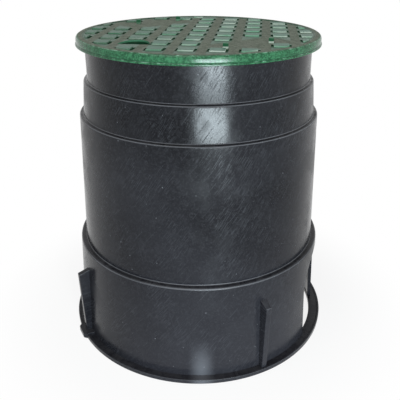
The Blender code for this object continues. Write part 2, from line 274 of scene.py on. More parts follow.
def slot_outline():
    """The arch with straight sides that run on below the ground."""
    half = SLOT_WIDTH / 2
    spring = SLOT_HEIGHT - half
    arch = [(half * math.cos(math.pi * step / SLOT_STEPS),
             spring + half * math.sin(math.pi * step / SLOT_STEPS))
            for step in range(SLOT_STEPS + 1)]
    return [(half, -CUT_MARGIN)] + arch + [(-half, -CUT_MARGIN)]


def between_slot_and_wall(edge):
    """Whether an edge joins a face of the cut, whose normal has no X part, with the wall."""
    if len(edge.link_faces) != 2:
        return False
    lean = sorted(abs(face.normal.x) for face in edge.link_faces)
    middle = (edge.verts[0].co + edge.verts[1].co) / 2
    beside_slot = abs(middle.y) < SLOT_WIDTH / 2 + NEAR_SLOT
    at_slot = ABOVE_GROUND < middle.z < SLOT_HEIGHT + NEAR_SLOT
    return beside_slot and at_slot and lean[0] < CUT_LEAN and lean[1] > WALL_LEAN


slot_bar = pushed("slot_bar", slot_outline(), -SLOT_REACH, SLOT_REACH)
ALONG_X = Matrix(((0, 0, 1, 0), (1, 0, 0, 0), (0, 1, 0, 0), (0, 0, 0, 1)))
slot_bar.data.transform(ALONG_X)
cut(wall, slot_bar)
rounded_edges(wall, between_slot_and_wall, SLOT_EDGE)
print("slotted wall:", len(wall.data.polygons), "faces")

# %% [markdown]
# ## Foot flange, ribs and tabs
# The skirt ends in a flat flange that spreads the load on gravel. The flange runs on past the
# slots as a narrow hoop. Four gusset ribs stiffen it, and two of them stand on a small thick tab.
# The flange is turned, the ribs and tabs are extruded outlines. Each is a closed shape that is
# sunk a little in its neighbour, which looks the same as a weld and keeps every face clean.

# %% Add the foot
FLANGE_RADIUS = 0.1046
FLANGE_LEDGE = 0.0004
BEAD = 0.0005
BEAD_WIDTH = 0.0014
SMALL_EDGE = 0.0003
RIB_ANGLES = (45, 135, 225, 315)
RIB_THICKNESS = 0.0044
RIB_HEIGHT = 0.0600
RIB_TOP_SLOPE = 0.0032
RIB_REACH_TOP = 0.1042
RIB_REACH_FOOT = 0.1028
RIB_EDGE = 0.0006
TAB_ANGLES = (45, 225)
TAB_WIDTH = 0.0150
TAB_REACH = 0.0022
TAB_THICKNESS = 0.0046
TAB_LIFT = 0.0005


def flange():
    """The flat ring under the wall, with a bead along its outer edge."""
    inner = SKIRT_RADIUS_FOOT - WALL - FLANGE_LEDGE
    crown = FLANGE_THICKNESS + BEAD
    return turned("flange", softened([
        (inner, 0.0, 0.0),
        (FLANGE_RADIUS, 0.0, SMALL_EDGE),
        (FLANGE_RADIUS, crown, SMALL_EDGE),
        (FLANGE_RADIUS - BEAD_WIDTH, crown, SMALL_EDGE),
        (FLANGE_RADIUS - BEAD_WIDTH - BEAD, FLANGE_THICKNESS, SMALL_EDGE),
        (inner, FLANGE_THICKNESS, 0.0),
    ]))


def skirt_radius(height):
    """The outer radius of the leaning skirt at a height."""
    share = height / SKIRT_TOP
    return SKIRT_RADIUS_FOOT + (SKIRT_RADIUS_TOP - SKIRT_RADIUS_FOOT) * share


def rib(angle):
    """A gusset between skirt and flange, with its outer edges rounded."""
    buried = FLANGE_THICKNESS / 2
    made = pushed("rib", softened([
        (skirt_radius(buried) - WALL / 2, buried, 0.0),
        (RIB_REACH_FOOT, buried, 0.0),
        (RIB_REACH_TOP, RIB_HEIGHT - RIB_TOP_SLOPE, RIB_EDGE),
        (skirt_radius(RIB_HEIGHT) - WALL / 2, RIB_HEIGHT, 0.0),
    ]), -RIB_THICKNESS / 2, RIB_THICKNESS / 2)
    made.data.transform(Matrix.Rotation(math.radians(90), 4, "X"))

    def on_rim(edge):
        along_side = abs(edge.verts[0].co.y - edge.verts[1].co.y) < MERGE_DISTANCE
        outer = min(vert.co.x for vert in edge.verts) > skirt_radius(RIB_HEIGHT)
        sloping_top = max(vert.co.z for vert in edge.verts) > RIB_HEIGHT - RIB_TOP_SLOPE
        return along_side and (outer or sloping_top)

    rounded_edges(made, on_rim, RIB_EDGE)
    turned_about_z(made, angle)
    return made


def foot_tab(angle):
    """A thick tab on the flange at a rib's foot, a little proud of its edge."""
    near = SKIRT_RADIUS_FOOT - WALL / 2
    half = TAB_WIDTH / 2
    far = FLANGE_RADIUS + TAB_REACH
    made = pushed("foot_tab", softened([
        (near, -half, 0.0),
        (FLANGE_RADIUS, -half, 0.0),
        (far, -half + TAB_REACH, TAB_REACH / 2),
        (far, half - TAB_REACH, TAB_REACH / 2),
        (FLANGE_RADIUS, half, 0.0),
        (near, half, 0.0),
    ]), TAB_LIFT, TAB_THICKNESS)

    def on_top(edge):
        return min(vert.co.z for vert in edge.verts) > TAB_THICKNESS - MERGE_DISTANCE

    rounded_edges(made, on_top, SMALL_EDGE)
    turned_about_z(made, angle)
    return made


tabs = [foot_tab(angle) for angle in TAB_ANGLES]
ribs = [rib(angle) for angle in RIB_ANGLES]
body = gathered("inspection_box_body", [wall, flange()] + tabs + ribs)
print("body:", len(body.data.polygons), "faces")

# %% [markdown]
# ## The lid's plate
# The lid is a plate with a tread field that is sunk a little inside a plain border, a rounded lip,
# and a rim that hangs over the collar and ends in a fine bead. A locating ring under the plate
# drops inside the collar. Again one profile gives all of that.

# %% Turn the lid
SEAT_GAP = 0.0003
SPIGOT_CLEARANCE = 0.0007
LID_RADIUS = 0.0855
LID_PLATE = 0.0029
LID_LIP = 0.0028
LID_RIM_DEPTH = 0.0061
LID_RIM_WALL = 0.0030
LID_BEAD = 0.0005
LID_BEAD_HEIGHT = 0.0009
LID_GROOVE = 0.0003
LID_TURN = 10.5
FIELD_RADIUS = 0.0805
FIELD_SINK = 0.0006
SPIGOT_DEPTH = 0.0100
SPIGOT_WALL = 0.0020
LID_UNDERSIDE = BOX_HEIGHT + SEAT_GAP
FIELD_LEVEL = LID_UNDERSIDE + LID_PLATE
BORDER_LEVEL = FIELD_LEVEL + FIELD_SINK
RIM_FOOT = BORDER_LEVEL - LID_RIM_DEPTH
SPIGOT_RADIUS = COLLAR_RADIUS - WALL - SPIGOT_CLEARANCE

plate = turned("plate", softened([
    (0.0, FIELD_LEVEL, 0.0),
    (FIELD_RADIUS, FIELD_LEVEL, SMALL_EDGE),
    (FIELD_RADIUS + FIELD_SINK, BORDER_LEVEL, SMALL_EDGE),
    (LID_RADIUS, BORDER_LEVEL, LID_LIP),
    (LID_RADIUS, RIM_FOOT + LID_BEAD_HEIGHT + LID_BEAD * 2, SMALL_EDGE),
    (LID_RADIUS - LID_GROOVE, RIM_FOOT + LID_BEAD_HEIGHT + LID_BEAD, SMALL_EDGE),
    (LID_RADIUS + LID_BEAD, RIM_FOOT + LID_BEAD_HEIGHT, SMALL_EDGE),
    (LID_RADIUS + LID_BEAD, RIM_FOOT, SMALL_EDGE),
    (LID_RADIUS - LID_RIM_WALL, RIM_FOOT, SMALL_EDGE),
    (LID_RADIUS - LID_RIM_WALL, LID_UNDERSIDE, SMALL_EDGE),
    (SPIGOT_RADIUS, LID_UNDERSIDE, SMALL_EDGE),
    (SPIGOT_RADIUS, LID_UNDERSIDE - SPIGOT_DEPTH, SMALL_EDGE),
    (SPIGOT_RADIUS - SPIGOT_WALL, LID_UNDERSIDE - SPIGOT_DEPTH, SMALL_EDGE),
    (SPIGOT_RADIUS - SPIGOT_WALL, LID_UNDERSIDE, SMALL_EDGE),
    (0.0, LID_UNDERSIDE, 0.0),
]), ring=False)
print("lid plate:", len(plate.data.polygons), "faces")

# %% [markdown]
# ## The tread
# Square pads on a grid give a boot its grip, and a narrow pit runs along two sides of each. Rows
# stop at the round border, at the finger slot and at two plain panels. Pads at the border are cut
# to its curve: their outline is clipped by the circle before it is extruded, which leaves clean
# faces where a Boolean on the finished pad would leave slivers.

# %% Lay out the pads
PAD_PITCH = 0.0190
PAD_SIZE = 0.0096
PAD_HEIGHT = 0.0010
PAD_MARGIN = 0.0012
PAD_LEAST = 0.0030
PAD_CORNER = 0.0007
PAD_EDGE = 0.0005
PIT_WIDTH = 0.0016
PIT_DEPTH = 0.0008
COLUMNS = 4
ROWS = 4
PANEL_ANGLE = -48
PANEL_RADIUS = 0.0570
PANEL_LENGTH = 0.0420
PANEL_WIDTH = 0.0130
FINGER_X = -0.0358
FINGER_Y = -0.0510
FINGER_WIDTH = 0.0206
FINGER_LENGTH = 0.0160
FUSE = 0.0005


def on_panel(x, y):
    """Whether a pad centred here would stand on one of the two plain panels."""
    for angle in (PANEL_ANGLE, PANEL_ANGLE + 180):
        outward = direction(angle)
        offset = Vector((x, y)) - outward * PANEL_RADIUS
        if (abs(offset.dot(square_to(outward))) < (PANEL_LENGTH + PAD_SIZE) / 2
                and abs(offset.dot(outward)) < (PANEL_WIDTH + PAD_SIZE) / 2):
            return True
    return False


def on_finger_slot(x, y):
    """Whether a pad centred here would reach over the finger slot."""
    half = PAD_SIZE / 2
    return (abs(x - FINGER_X) < FINGER_WIDTH / 2 + half
            and FINGER_Y - half < y < FINGER_Y + FINGER_LENGTH + half)


def pad_places():
    """Centres of the pads on the grid, in the lid's own frame."""
    clip = FIELD_RADIUS - PAD_MARGIN
    places = []
    for column in range(-COLUMNS, COLUMNS + 1):
        for row in range(-ROWS, ROWS):
            x = column * PAD_PITCH
            y = (row + 0.5) * PAD_PITCH
            near_x = max(abs(x) - PAD_SIZE / 2, 0.0)
            near_y = max(abs(y) - PAD_SIZE / 2, 0.0)
            inside = math.hypot(near_x, near_y) <= clip - PAD_LEAST
            if inside and not on_panel(x, y) and not on_finger_slot(x, y):
                places.append((x, y))
    return places


def clipped(outline, radius):
    """The part of a convex outline that lies inside a circle round the origin."""
    for step in range(ROUND_STEPS):
        outward = direction(360 * (step + 0.5) / ROUND_STEPS)
        kept = []
        for number, point in enumerate(outline):
            before = outline[number - 1]
            depth = radius - point.dot(outward)
            depth_before = radius - before.dot(outward)
            if (depth >= 0) != (depth_before >= 0):
                kept.append(before.lerp(point, depth_before / (depth_before - depth)))
            if depth >= 0:
                kept.append(point)
        outline = kept
    return outline


def oblong(x, y, width, length):
    """Corners of a rectangle, counter-clockwise."""
    return [Vector((x + a * width / 2, y + b * length / 2)) for a, b in CORNERS]


PLACES = pad_places()
print("pads:", len(PLACES))

# %% Cut the pits and raise the pads
CORNER_SEGMENTS = 3
LEAST_CORNER = 20
NEAR_TOP = 0.99


def pad(x, y):
    """A pad with softened upright corners and a rounded top edge."""
    outline = clipped(oblong(x, y, PAD_SIZE, PAD_SIZE), FIELD_RADIUS - PAD_MARGIN)
    made = pushed("pad", outline, FIELD_LEVEL - FUSE, FIELD_LEVEL + PAD_HEIGHT)

    def upright(edge):
        low, high = sorted(vert.co.z for vert in edge.verts)
        return high - low > PAD_HEIGHT and edge.calc_face_angle(0.0) > math.radians(LEAST_CORNER)

    def on_top(edge):
        return min(vert.co.z for vert in edge.verts) > FIELD_LEVEL + PAD_HEIGHT * NEAR_TOP

    rounded_edges(made, upright, PAD_CORNER, segments=CORNER_SEGMENTS)
    rounded_edges(made, on_top, PAD_EDGE)
    return made


def pit(x, y, side):
    """The narrow pit along one side of a pad, in a list that is empty past the border."""
    across = x + side * (PAD_SIZE + PIT_WIDTH) / 2
    outline = clipped(oblong(across, y, PIT_WIDTH, PAD_SIZE), FIELD_RADIUS - PAD_MARGIN)
    if len(outline) < 3:
        return []
    return [pushed("pit", outline, FIELD_LEVEL - PIT_DEPTH, FIELD_LEVEL + FUSE)]


pits = [made for x, y in PLACES for side in (-1, 1) for made in pit(x, y, side)]
cut(plate, gathered("pits", pits))
pads = [pad(x, y) for x, y in PLACES]
print("plate with", len(pits), "pits:", len(plate.data.polygons), "faces")

# %% [markdown]
# ## Lugs, marker, gate mark and finger slot
# Each plain panel has a small lug at both ends. A short marker block stands at the border, and the
# middle of the lid keeps the shallow round mark of the gate, where the plastic entered the mould.
# The finger slot is half an ellipse. A wall hangs round it below, so that sand stays out.

# %% Add the small features
LUG_ANGLE = -52
LUG_RADIUS = 0.0600
LUG_SPACING = 0.0350
LUG_SIZE = 0.0034
LUG_HEIGHT = 0.0032
DIMPLE_RADIUS = 0.0030
DIMPLE_DEPTH = 0.0010
DIMPLE_STEPS = 48
MARKER_WIDTH = 0.0075
MARKER_LENGTH = 0.0034
MARKER_RADIUS = 0.0755
MARKER_ANGLE = 96.5
FINGER_WALL = 0.0020
FINGER_WALL_DEPTH = 0.0055
FINGER_STEPS = 32


def block(name, centre, width, length, height):
    """A rectangular block on the field with its top and upright edges rounded."""
    top = FIELD_LEVEL + height
    made = pushed(name, oblong(centre.x, centre.y, width, length), FIELD_LEVEL - FUSE, top)

    def reaches_top(edge):
        return max(vert.co.z for vert in edge.verts) > top - MERGE_DISTANCE

    rounded_edges(made, reaches_top, SMALL_EDGE)
    return made


def finger_outline(grow=0.0):
    """Half an ellipse with its flat side towards the rim, grown outward by an amount."""
    half = FINGER_WIDTH / 2 + grow
    length = FINGER_LENGTH + grow
    points = [(FINGER_X + half * math.cos(math.pi * step / FINGER_STEPS),
               FINGER_Y + length * math.sin(math.pi * step / FINGER_STEPS))
              for step in range(FINGER_STEPS + 1)]
    if grow:
        points += [(FINGER_X - half, FINGER_Y - grow), (FINGER_X + half, FINGER_Y - grow)]
    return points


raised = [block("marker", direction(MARKER_ANGLE) * MARKER_RADIUS, MARKER_WIDTH, MARKER_LENGTH,
                PAD_HEIGHT)]
for angle in (LUG_ANGLE, LUG_ANGLE + 180):
    outward = direction(angle)
    for end in (-0.5, 0.5):
        centre = outward * LUG_RADIUS + square_to(outward) * (end * LUG_SPACING)
        raised.append(block("lug", centre, LUG_SIZE, LUG_SIZE, LUG_HEIGHT))
dimple = pushed("dimple", [direction(360 * step / DIMPLE_STEPS) * DIMPLE_RADIUS
                           for step in range(DIMPLE_STEPS)],
                FIELD_LEVEL - DIMPLE_DEPTH, FIELD_LEVEL + FUSE)
cut(plate, dimple)
print("raised pieces:", len(raised))

# %% [markdown]
# ## Underside of the lid
# Nobody sees it in place, but whoever lifts the lid does. A hub ring and six spokes stiffen the
# plate inside the locating ring. The finger slot is cut from the plate, from the spokes and from
# its own hanging wall one by one, and then the closed shapes are gathered as one lid.

# %% Add the underside
STIFFENERS = 6
STIFFENER_TURN = 21
STIFFENER_WALL = 0.0018
STIFFENER_DEPTH = 0.0060
HUB_RADIUS = 0.0140
HUB_WALL = 0.0020
HUB_DEPTH = 0.0066
HUB_STEPS = 64
SUNK_TOP = LID_UNDERSIDE + FUSE


def spoke(angle):
    """One upright web from the hub to the locating ring."""
    inner = HUB_RADIUS - HUB_WALL / 2
    outer = SPIGOT_RADIUS - SPIGOT_WALL / 2
    along = direction(angle)
    middle = along * (inner + outer) / 2
    reach = along * (outer - inner) / 2
    across = square_to(along) * STIFFENER_WALL / 2
    outline = [middle + reach * a + across * b for a, b in CORNERS]
    return pushed("spoke", outline, LID_UNDERSIDE - STIFFENER_DEPTH, SUNK_TOP)


hub = turned("hub", softened([
    (HUB_RADIUS - HUB_WALL, LID_UNDERSIDE - HUB_DEPTH, SMALL_EDGE),
    (HUB_RADIUS, LID_UNDERSIDE - HUB_DEPTH, SMALL_EDGE),
    (HUB_RADIUS, SUNK_TOP, 0.0),
    (HUB_RADIUS - HUB_WALL, SUNK_TOP, 0.0),
]), steps=HUB_STEPS)
sleeve_foot = LID_UNDERSIDE - FINGER_WALL_DEPTH
sleeve = pushed("sleeve", finger_outline(FINGER_WALL), sleeve_foot, SUNK_TOP)
spokes = gathered("spokes", [spoke(STIFFENER_TURN + 360 * number / STIFFENERS)
                             for number in range(STIFFENERS)])
for thing in (plate, spokes, sleeve):
    cut(thing, pushed("finger_cut", finger_outline(), sleeve_foot - CUT_MARGIN,
                      FIELD_LEVEL + CUT_MARGIN))
lid = gathered("inspection_box_lid", [plate, hub, spokes, sleeve] + pads + raised)
turned_about_z(lid, LID_TURN)
print("lid:", len(lid.data.polygons), "faces")

# %% [markdown]
# ## Shading of the meshes
# Smooth shading blends the facets of the round walls, and edges sharper than a set angle stay
# crisp. Normals are then weighted by face area, so that a wide flat face stays flat right up to
# its rounded edge.

# %% Shade both pieces
SHARP_ANGLE = 34
FACE_WEIGHT = 80


def shade(thing):
    """Smooth shading with crisp edges and weighted normals."""
    thing.data.shade_smooth()
    thing.data.set_sharp_from_angle(angle=math.radians(SHARP_ANGLE))
    weighted = thing.modifiers.new("weighted_normals", "WEIGHTED_NORMAL")
    weighted.keep_sharp = True
    weighted.weight = FACE_WEIGHT


for thing, node, slot in ((body, "box_body", "body_plastic"), (lid, "lid", "lid_plastic")):
    shade(thing)
    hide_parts(node)
    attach(thing, "root")

# %% [markdown]
# ## Shader maths in Python
# A material here is mostly arithmetic on positions and noises. The class below wraps a node's
# output, so that an expression such as `1 - mask * 0.5` adds the Math nodes by itself. Every other
# node comes from one method that sets its options first and then its sockets. A colour is built up
# like paint: each layer is a mask and the colour that it lays over what is there. Positions are in
# metres, so a noise of scale 400 has clouds about 2.5 mm wide.


# %% Wires and nodes
class Wire:
    """One output of a node, which Python's operators work on."""

    def __init__(self, bench, made, output=0):
        self.bench = bench
        self.made = made
        self.socket = made.outputs[output]

    def out(self, output):
        """Another output of the same node."""
        return Wire(self.bench, self.made, output)

    def __add__(self, other):
        return self.bench.maths("ADD", self, other)

    def __radd__(self, other):
        return self.bench.maths("ADD", other, self)

    def __sub__(self, other):
        return self.bench.maths("SUBTRACT", self, other)

    def __rsub__(self, other):
        return self.bench.maths("SUBTRACT", other, self)

    def __mul__(self, other):
        return self.bench.maths("MULTIPLY", self, other)

    def __rmul__(self, other):
        return self.bench.maths("MULTIPLY", other, self)

    def __truediv__(self, other):
        return self.bench.maths("DIVIDE", self, other)

    def __rtruediv__(self, other):
        return self.bench.maths("DIVIDE", other, self)

    def __neg__(self):
        return self.bench.maths("MULTIPLY", self, -1.0)

    def __abs__(self):
        return self.bench.maths("ABSOLUTE", self)


class Bench:
    """The emptied node tree of a material or world, with the one method that adds nodes."""

    def __init__(self, tree):
        self.tree = tree
        tree.nodes.clear()

    def node(self, kind, settings=None, sockets=None):
        """Add a node, set its options, then fill its sockets with values or links."""
        made = self.tree.nodes.new(kind)
        for name, value in (settings or {}).items():
            setattr(made, name, value)
        for name, value in (sockets or {}).items():
            if isinstance(value, Wire):
                self.tree.links.new(value.socket, made.inputs[name])
            else:
                made.inputs[name].default_value = value
        return Wire(self, made) if made.outputs else None

    def maths(self, operation, *values):
        """One Math node, as a wire."""
        return self.node("ShaderNodeMath", {"operation": operation}, dict(enumerate(values)))

    def most(self, first, second):
        """The larger of two values."""
        return self.maths("MAXIMUM", first, second)

    def step(self, value, low, high):
        """Rise smoothly from 0 to 1 while a value goes from low to high."""
        return self.node("ShaderNodeMapRange",
                         {"interpolation_type": "SMOOTHSTEP", "clamp": True},
                         {"Value": value, "From Min": low, "From Max": high}).out("Result")

    def drop(self, value, low, high):
        """Fall smoothly from 1 to 0 while a value goes from low to high."""
        return 1 - self.step(value, low, high)

    def band(self, value, rise, fall):
        """1 between two (low, high) slopes."""
        return self.step(value, *rise) * self.drop(value, *fall)

    def blend(self, factor, first, second):
        """A colour between two colours, each a wire or three numbers."""
        ends = [end if isinstance(end, Wire) else (*end, 1.0) for end in (first, second)]
        return self.node("ShaderNodeMix", {"data_type": "RGBA", "clamp_factor": True},
                         {0: factor, 6: ends[0], 7: ends[1]}).out(2)

    def layered(self, tone, layers):
        """A tone with (mask, colour) layers laid over it, one after another."""
        for mask, colour in layers:
            tone = self.blend(mask, tone, colour)
        return tone

    def noise(self, place, scale, detail=2.0, rough=0.5):
        """A cloudy value round 0.5."""
        return self.node("ShaderNodeTexNoise", {}, {
            "Vector": place, "Scale": scale, "Detail": detail, "Roughness": rough})

    def turned_and_scaled(self, place, degrees, factors=(1.0, 1.0, 1.0)):
        """A position in a frame that is turned about Z, and then scaled along its axes."""
        return self.node("ShaderNodeMapping", {"vector_type": "TEXTURE"}, {
            "Vector": place, "Rotation": (0.0, 0.0, math.radians(degrees)),
            "Scale": [1.0 / factor for factor in factors]})

    def parts(self, vector):
        """The three numbers of a vector."""
        apart = self.node("ShaderNodeSeparateXYZ", {}, {0: vector})
        return apart, apart.out(1), apart.out(2)

    def position(self):
        """The place on the object in metres, with the box's own origin."""
        return self.node("ShaderNodeTexCoord").out("Object")

    def upward(self):
        """How much the surface faces up, from -1 to 1."""
        return self.parts(self.node("ShaderNodeNewGeometry").out("Normal"))[2]


def new_bench(name):
    """A new material and the bench for its nodes."""
    made = bpy.data.materials.new(name)
    made.use_nodes = True
    return made, Bench(made.node_tree)


def finish_plastic(bench, tone, roughness, relief, strength, depth, specular):
    """The bump, the Principled shader and the output of one of the plastics."""
    bump = bench.node("ShaderNodeBump", {}, {
        "Strength": strength, "Distance": depth, "Height": relief})
    shader = bench.node("ShaderNodeBsdfPrincipled", {}, {
        "Base Color": tone, "Roughness": roughness, "Normal": bump,
        "Specular IOR Level": specular})
    bench.node("ShaderNodeOutputMaterial", {}, {"Surface": shader})


def dress(thing, material):
    """Give an object one material and no other."""
    thing.data.materials.clear()
    thing.data.materials.append(material)


print("shader tools ready")

# %% [markdown]
# ## Black plastic: where the marks are
# The body is recycled black polyolefin: satin, nearly black and a touch blue, and a little paler
# towards the foot. The sides that turn away from the key lamp are painted darker, as painted
# shade.
# Handling leaves fine slanting scratches and pale specks, and dust settles on the ledges. A pale
# spot low on the foot is a painted highlight, and the rounded edges are paler with wear and a
# painted highlight. Slanting scratches need a coordinate that runs round the wall, so the position
# is unrolled to angle and height.

# %% Map the black plastic
WALL_RADIUS = 0.09
# Round the wall, the middle of the side that is painted lighter; the sides away from it get
# painted shade.
PAINTED_LIT_SIDE = 0.042
# Round the wall, where the painted highlight at the foot stands.
FOOT_HIGHLIGHT_SIDE = 0.0285

black, bench = new_bench("black_polyolefin")
place = bench.position()
x, y, z = bench.parts(place)
up = bench.upward()
around = bench.maths("ARCTAN2", x, -y) * WALL_RADIUS
unrolled = bench.node("ShaderNodeCombineXYZ", {}, {0: around, 1: z})


def scratches(degrees, across, along, low, high):
    """Thin strokes at a slant on the unrolled wall."""
    strokes = bench.noise(bench.turned_and_scaled(unrolled, degrees, (across, along, 1.0)), 1.0,
                          detail=1.0)
    return bench.step(strokes, low, high)


cloud = bench.noise(place, 14.0, detail=3.0)
mottle = bench.noise(place, 420.0, detail=3.0, rough=0.6)
grit = bench.step(bench.noise(place, 1000.0), 0.48, 0.74)
grain = bench.noise(place, 1400.0, detail=1.0)
smears = bench.step(bench.noise(unrolled, 38.0, detail=3.0), 0.46, 0.62)
patches = bench.step(bench.noise(unrolled, 26.0), 0.42, 0.58)

fine = scratches(-34.0, 1900.0, 110.0, 0.54, 0.66) * patches
slanting = scratches(-38.0, 1500.0, 45.0, 0.66, 0.74)
hair = scratches(14.0, 1300.0, 14.0, 0.73, 0.79)
marks = bench.most(fine * 0.6, bench.most(slanting * 0.6, hair * 0.7))

dots = bench.node("ShaderNodeTexVoronoi", {"feature": "F1"}, {"Vector": place, "Scale": 150.0})
chance = bench.node("ShaderNodeSeparateColor", {}, {0: dots.out("Color")})
specks = bench.drop(dots, 0.02, 0.06) * bench.step(chance, 0.38, 0.42)

# Painted shade: the sides that turn away from the key lamp are darker.
painted_side_shade = bench.step(abs(around - PAINTED_LIT_SIDE), 0.045, 0.095)
# Paler towards the foot, and darker on the sides with painted shade.
paling_and_side_shade = bench.drop(z, -0.05, 0.235) * (1 - painted_side_shade * 0.45)
# Painted highlight: a pale spot low on the foot.
painted_foot_highlight = bench.drop(abs(around - FOOT_HIGHLIGHT_SIDE), 0.000, 0.010) * bench.drop(z, 0.006, 0.036)
# Rounded edges that face partly up: paler with wear, and with a painted highlight.
edges = bench.band(up, (0.30, 0.42), (0.70, 0.82))
dust = bench.step(up, 0.75, 0.95) * bench.step(bench.noise(place, 160.0, detail=3.0), 0.35, 0.70)
print("masks of the black plastic:", len(bench.tree.nodes), "nodes")

# %% [markdown]
# ## Black plastic: tone and gloss
# The layers go from large to small: clouds, mottle and grit, then the painted highlight at the
# foot and the edges, paler with wear and a painted highlight, and on top the scratches, the dust
# and the specks. Smears, scratches and dust also dull the gloss, and the scratches are cut into
# the surface, so that they break up the highlight.

# %% Make the black plastic
NECK_BLACK = (0.0022, 0.0026, 0.0038)
FOOT_BLACK = (0.0172, 0.0174, 0.0218)
CLOUD_GREY = (0.0300, 0.0310, 0.0370)
MOTTLE_GREY = (0.0500, 0.0520, 0.0600)
GRIT_GREY = (0.0700, 0.0720, 0.0780)
# Colour of the painted highlight at the foot.
FOOT_HIGHLIGHT_GREY = (0.1100, 0.1160, 0.1300)
# Colour of the worn edges, with a painted highlight.
EDGE_WEAR_AND_HIGHLIGHT_GREY = (0.1250, 0.1280, 0.1380)
SCRATCH_GREY = (0.0800, 0.0860, 0.0980)
DUST_GREY = (0.0600, 0.0620, 0.0660)
SPECK_GREY = (0.2600, 0.2700, 0.2900)

# The base tone: paler towards the foot, with painted shade on the sides.
paled_black_with_side_shade = bench.blend(paling_and_side_shade * (0.35 + paling_and_side_shade * 0.65), NECK_BLACK, FOOT_BLACK)
tone = bench.layered(paled_black_with_side_shade, [
    (bench.step(cloud, 0.35, 0.70) * 0.25, CLOUD_GREY),
    (bench.step(mottle, 0.45, 0.75) * 0.14, MOTTLE_GREY),
    (grit * 0.17, GRIT_GREY),
    # Painted highlight at the foot.
    (painted_foot_highlight * 0.66, FOOT_HIGHLIGHT_GREY),
    # Edges paler with wear and a painted highlight.
    (edges * (cloud * 1.2 - 0.10), EDGE_WEAR_AND_HIGHLIGHT_GREY),
    (marks * 0.24, SCRATCH_GREY),
    (dust * 0.22, DUST_GREY),
    (specks * 0.85, SPECK_GREY),
])
roughness = 0.17 + smears * 0.12 + cloud * 0.06 + marks * 0.20 + dust * 0.20
relief = grain * 0.20 + mottle * 0.30 - marks * 1.8
finish_plastic(bench, tone, roughness, relief, strength=0.18, depth=0.00012, specular=0.15)
dress(body, black)
print("black plastic:", len(bench.tree.nodes), "nodes")

# %% [markdown]
# ## Green plastic: the lid's zones
# The lid is the same polymer in green. The floor of the tread and the border have a stippled grain
# that holds dust, while the lanes that the pads stand in are smoother. Each zone is a mask that
# follows from the shape's own sizes: lanes from the turned grid, pads, pits and lugs from height,
# the border and the rim from the distance to the middle.

# %% Map the green plastic
SOFT = 0.0003
PANEL_GROWTH = PAD_SIZE * 0.60

green, bench = new_bench("green_polyolefin")
place = bench.position()
x, y, z = bench.parts(bench.turned_and_scaled(place, LID_TURN))
up = bench.upward()
radius = bench.maths("SQRT", x * x + y * y)

level = bench.step(up, 0.75, 0.97)
above = bench.step(z, FIELD_LEVEL - 0.0015, FIELD_LEVEL - 0.0005) * bench.step(up, -0.5, -0.2)
field = bench.drop(radius, FIELD_RADIUS - SOFT * 2, FIELD_RADIUS)

lane_offset = abs(bench.maths("WRAP", x, PAD_PITCH / 2, -PAD_PITCH / 2))
lane_half = PAD_SIZE / 2 + PIT_WIDTH
lane = bench.drop(lane_offset, lane_half - SOFT, lane_half + SOFT)
on_pad = bench.step(z, FIELD_LEVEL + 0.0004, FIELD_LEVEL + 0.0008) * field
on_lug = bench.step(z, FIELD_LEVEL + PAD_HEIGHT + 0.0001, FIELD_LEVEL + PAD_HEIGHT + 0.0004)
pad_side = (1 - level) * field * bench.step(z, FIELD_LEVEL, FIELD_LEVEL + 0.0002)
deep = bench.drop(z, FIELD_LEVEL - 0.0005, FIELD_LEVEL - 0.0001)

outward = direction(PANEL_ANGLE)
across = abs(abs(x * outward.x + y * outward.y) - PANEL_RADIUS)
beside = abs(y * outward.x - x * outward.y)
panel = bench.drop(across, PANEL_WIDTH / 2 + PANEL_GROWTH, PANEL_WIDTH / 2 + PAD_SIZE) * (
    bench.drop(beside, PANEL_LENGTH / 2 + PANEL_GROWTH, PANEL_LENGTH / 2 + PAD_SIZE))
rough_floor = bench.step(up, 0.90, 0.99) * above * (1 - lane * field * (1 - panel)) * (1 - on_pad)

slot_end = FINGER_Y + FINGER_LENGTH
slot_side = (1 - level) * (
    bench.drop(abs(x - FINGER_X), FINGER_WIDTH / 2, FINGER_WIDTH / 2 + 0.0005)) * (
    bench.band(y, (FINGER_Y + 0.0010, FINGER_Y + 0.0020), (slot_end, slot_end + 0.0005)))
slot_top = bench.step(z, FIELD_LEVEL - 0.0013, FIELD_LEVEL - 0.0007)

step_end = FIELD_RADIUS + FIELD_SINK
border_step = (1 - level) * bench.band(radius, (FIELD_RADIUS - 0.0004, FIELD_RADIUS),
                                       (step_end, step_end + SOFT))
lip = bench.band(up, (0.72, 0.80), (0.90, 0.95)) * bench.step(
    radius, FIELD_RADIUS + 0.0010, FIELD_RADIUS + 0.0014)
at_rim = bench.step(radius, LID_RADIUS - 0.0010, LID_RADIUS - 0.0006)
bead_edge = RIM_FOOT + LID_BEAD_HEIGHT
groove = at_rim * bench.band(z, (bead_edge, bead_edge + SOFT),
                             (bead_edge + SOFT * 2, bead_edge + SOFT * 3))
far_side = bench.step(y, -0.010, 0.030)
# Painted light across the lid: 1 where the pads are painted lit, 0 where the pad tops get painted
# shade.
painted_light_side = bench.step(x, -0.060, 0.015)
print("masks of the green plastic:", len(bench.tree.nodes), "nodes")

# %% [markdown]
# ## Green plastic: tone and gloss
# Sides keep a clean, mottled green. The rough floor is grey: partly dust, partly a painted sheen.
# The pad tops carry painted shade on the less lit side of the lid, and the pad sides a painted
# highlight that is strongest on the more lit side. Pits carry painted shade, and the steps at the
# border are dark. The finger slot carries painted shade below a painted highlight on its upper
# edge.
# The rim's groove and the far side of the lip carry painted shade, the near side of the lip a
# painted highlight.

# %% Make the green plastic
SIDE_GREENS = ((0.006, 0.046, 0.019), (0.032, 0.128, 0.060))
LANE_GREENS = ((0.038, 0.082, 0.056), (0.072, 0.128, 0.095))
PAD_GREENS = ((0.045, 0.115, 0.080), (0.080, 0.165, 0.125))
